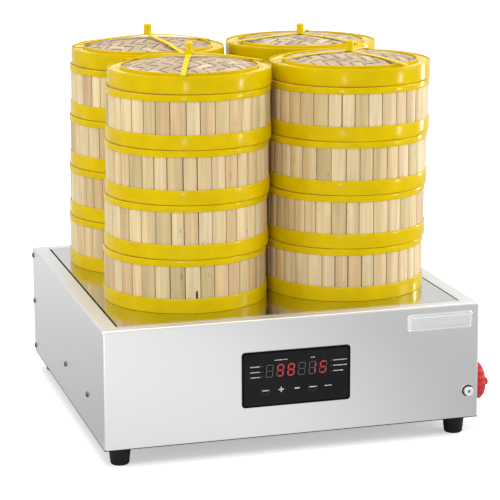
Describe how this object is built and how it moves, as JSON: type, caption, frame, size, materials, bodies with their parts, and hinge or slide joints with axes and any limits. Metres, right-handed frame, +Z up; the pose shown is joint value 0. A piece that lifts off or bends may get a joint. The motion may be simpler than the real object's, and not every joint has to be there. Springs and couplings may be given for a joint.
{
  "type": "dumpling steamer",
  "caption": "Counter-top electric steamer: a low steel water case with a flush steam tray that carries stacks of round bamboo baskets with yellow bands and domed lids.",
  "frame": {"origin": "on the counter, under the middle of the whole object's outer box, which is 11.5 mm to the right of the case's middle and 2 mm behind it, because the wheel and the gland stand out", "axes": "+X to the right of someone facing the control panel, +Y from the front to the back, +Z up"},
  "size_m": [0.487, 0.466, 0.472],
  "materials": {
    "case_steel": "brushed along the face",
    "tray_steel": "polished",
    "tank_steel": "pressed sheet",
    "bamboo": "bare, slightly waxy bamboo",
    "band_yellow": "gloss",
    "panel_black": "gloss film",
    "display": "dark tinted window",
    "board": "green circuit board",
    "plate": "satin",
    "rubber": "matt black",
    "wheel_red": "moulded, semi gloss",
    "brass": "machined",
    "spout": "bright",
    "fasteners": "plated",
    "gland": "black nylon"
  },
  "bodies": {
    "case": {"body_shell": "case_steel", "rear_panel": "case_steel", "base_plate": "case_steel", "feet": "rubber", "foot_studs": "fasteners", "top_tray": "tray_steel", "seals": "rubber", "water_tank": "tank_steel", "heating_element": "tank_steel", "level_probes": "fasteners", "drain_pipe": "brass", "drain_cock": "brass", "drain_spout": "spout", "cable_gland": "gland", "control_panel": "panel_black", "display_modules": "display", "control_board": "board", "name_plate": "plate", "case_screws": "fasteners"},
    "wheel": {"drain_wheel": "wheel_red"},
    "basket_front_left_1": {"basket_front_left_1": "bamboo", "basket_front_left_1_bands": "band_yellow"},
    "basket_front_left_2": {"basket_front_left_2": "bamboo", "basket_front_left_2_bands": "band_yellow"},
    "basket_front_left_3": {"basket_front_left_3": "bamboo", "basket_front_left_3_bands": "band_yellow"},
    "basket_front_left_4": {"basket_front_left_4": "bamboo", "basket_front_left_4_bands": "band_yellow"},
    "lid_front_left": {"lid_front_left": "bamboo", "lid_front_left_trim": "band_yellow"},
    "basket_front_right_1": {"basket_front_right_1": "bamboo", "basket_front_right_1_bands": "band_yellow"},
    "basket_front_right_2": {"basket_front_right_2": "bamboo", "basket_front_right_2_bands": "band_yellow"},
    "basket_front_right_3": {"basket_front_right_3": "bamboo", "basket_front_right_3_bands": "band_yellow"},
    "basket_front_right_4": {"basket_front_right_4": "bamboo", "basket_front_right_4_bands": "band_yellow"},
    "lid_front_right": {"lid_front_right": "bamboo", "lid_front_right_trim": "band_yellow"},
    "basket_back_left_1": {"basket_back_left_1": "bamboo", "basket_back_left_1_bands": "band_yellow"},
    "basket_back_left_2": {"basket_back_left_2": "bamboo", "basket_back_left_2_bands": "band_yellow"},
    "basket_back_left_3": {"basket_back_left_3": "bamboo", "basket_back_left_3_bands": "band_yellow"},
    "basket_back_left_4": {"basket_back_left_4": "bamboo", "basket_back_left_4_bands": "band_yellow"},
    "lid_back_left": {"lid_back_left": "bamboo", "lid_back_left_trim": "band_yellow"},
    "basket_back_right_1": {"basket_back_right_1": "bamboo", "basket_back_right_1_bands": "band_yellow"},
    "basket_back_right_2": {"basket_back_right_2": "bamboo", "basket_back_right_2_bands": "band_yellow"},
    "basket_back_right_3": {"basket_back_right_3": "bamboo", "basket_back_right_3_bands": "band_yellow"},
    "basket_back_right_4": {"basket_back_right_4": "bamboo", "basket_back_right_4_bands": "band_yellow"},
    "lid_back_right": {"lid_back_right": "bamboo", "lid_back_right_trim": "band_yellow"}
  },
  "joints": [
    {"name": "drain_turn", "type": "hinge", "parent": "case", "child": "wheel", "pos_m": [0.2385, -0.187, 0.057], "axis": [1, 0, 0], "range_deg": [0, 90]},
    {"name": "lift_basket_front_left_1", "type": "slide", "parent": "case", "child": "basket_front_left_1", "axis": [0.0325, 0, 0.9995], "range_m": [0, 0.08]},
    {"name": "lift_basket_front_left_2", "type": "slide", "parent": "basket_front_left_1", "child": "basket_front_left_2", "axis": [0.0325, 0, 0.9995], "range_m": [0, 0.08]},
    {"name": "lift_basket_front_left_3", "type": "slide", "parent": "basket_front_left_2", "child": "basket_front_left_3", "axis": [0.0325, 0, 0.9995], "range_m": [0, 0.08]},
    {"name": "lift_basket_front_left_4", "type": "slide", "parent": "basket_front_left_3", "child": "basket_front_left_4", "axis": [0.0325, 0, 0.9995], "range_m": [0, 0.08]},
    {"name": "lift_lid_front_left", "type": "slide", "parent": "basket_front_left_4", "child": "lid_front_left", "axis": [0.0325, 0, 0.9995], "range_m": [0, 0.08]},
    {"name": "lift_basket_front_right_1", "type": "slide", "parent": "case", "child": "basket_front_right_1", "axis": [0.031, 0, 0.9995], "range_m": [0, 0.08]},
    {"name": "lift_basket_front_right_2", "type": "slide", "parent": "basket_front_right_1", "child": "basket_front_right_2", "axis": [0.031, 0, 0.9995], "range_m": [0, 0.08]},
    {"name": "lift_basket_front_right_3", "type": "slide", "parent": "basket_front_right_2", "child": "basket_front_right_3", "axis": [0.031, 0, 0.9995], "range_m": [0, 0.08]},
    {"name": "lift_basket_front_right_4", "type": "slide", "parent": "basket_front_right_3", "child": "basket_front_right_4", "axis": [0.031, 0, 0.9995], "range_m": [0, 0.08]},
    {"name": "lift_lid_front_right", "type": "slide", "parent": "basket_front_right_4", "child": "lid_front_right", "axis": [0.031, 0, 0.9995], "range_m": [0, 0.08]},
    {"name": "lift_basket_back_left_1", "type": "slide", "parent": "case", "child": "basket_back_left_1", "axis": [0.0263, 0, 0.9997], "range_m": [0, 0.08]},
    {"name": "lift_basket_back_left_2", "type": "slide", "parent": "basket_back_left_1", "child": "basket_back_left_2", "axis": [0.0263, 0, 0.9997], "range_m": [0, 0.08]},
    {"name": "lift_basket_back_left_3", "type": "slide", "parent": "basket_back_left_2", "child": "basket_back_left_3", "axis": [0.0263, 0, 0.9997], "range_m": [0, 0.08]},
    {"name": "lift_basket_back_left_4", "type": "slide", "parent": "basket_back_left_3", "child": "basket_back_left_4", "axis": [0.0263, 0, 0.9997], "range_m": [0, 0.08]},
    {"name": "lift_lid_back_left", "type": "slide", "parent": "basket_back_left_4", "child": "lid_back_left", "axis": [0.0263, 0, 0.9997], "range_m": [0, 0.08]},
    {"name": "lift_basket_back_right_1", "type": "slide", "parent": "case", "child": "basket_back_right_1", "axis": [0.0263, 0, 0.9997], "range_m": [0, 0.08]},
    {"name": "lift_basket_back_right_2", "type": "slide", "parent": "basket_back_right_1", "child": "basket_back_right_2", "axis": [0.0263, 0, 0.9997], "range_m": [0, 0.08]},
    {"name": "lift_basket_back_right_3", "type": "slide", "parent": "basket_back_right_2", "child": "basket_back_right_3", "axis": [0.0263, 0, 0.9997], "range_m": [0, 0.08]},
    {"name": "lift_basket_back_right_4", "type": "slide", "parent": "basket_back_right_3", "child": "basket_back_right_4", "axis": [0.0263, 0, 0.9997], "range_m": [0, 0.08]},
    {"name": "lift_lid_back_right", "type": "slide", "parent": "basket_back_right_4", "child": "lid_back_right", "axis": [0.0263, 0, 0.9997], "range_m": [0, 0.08]}
  ]
}
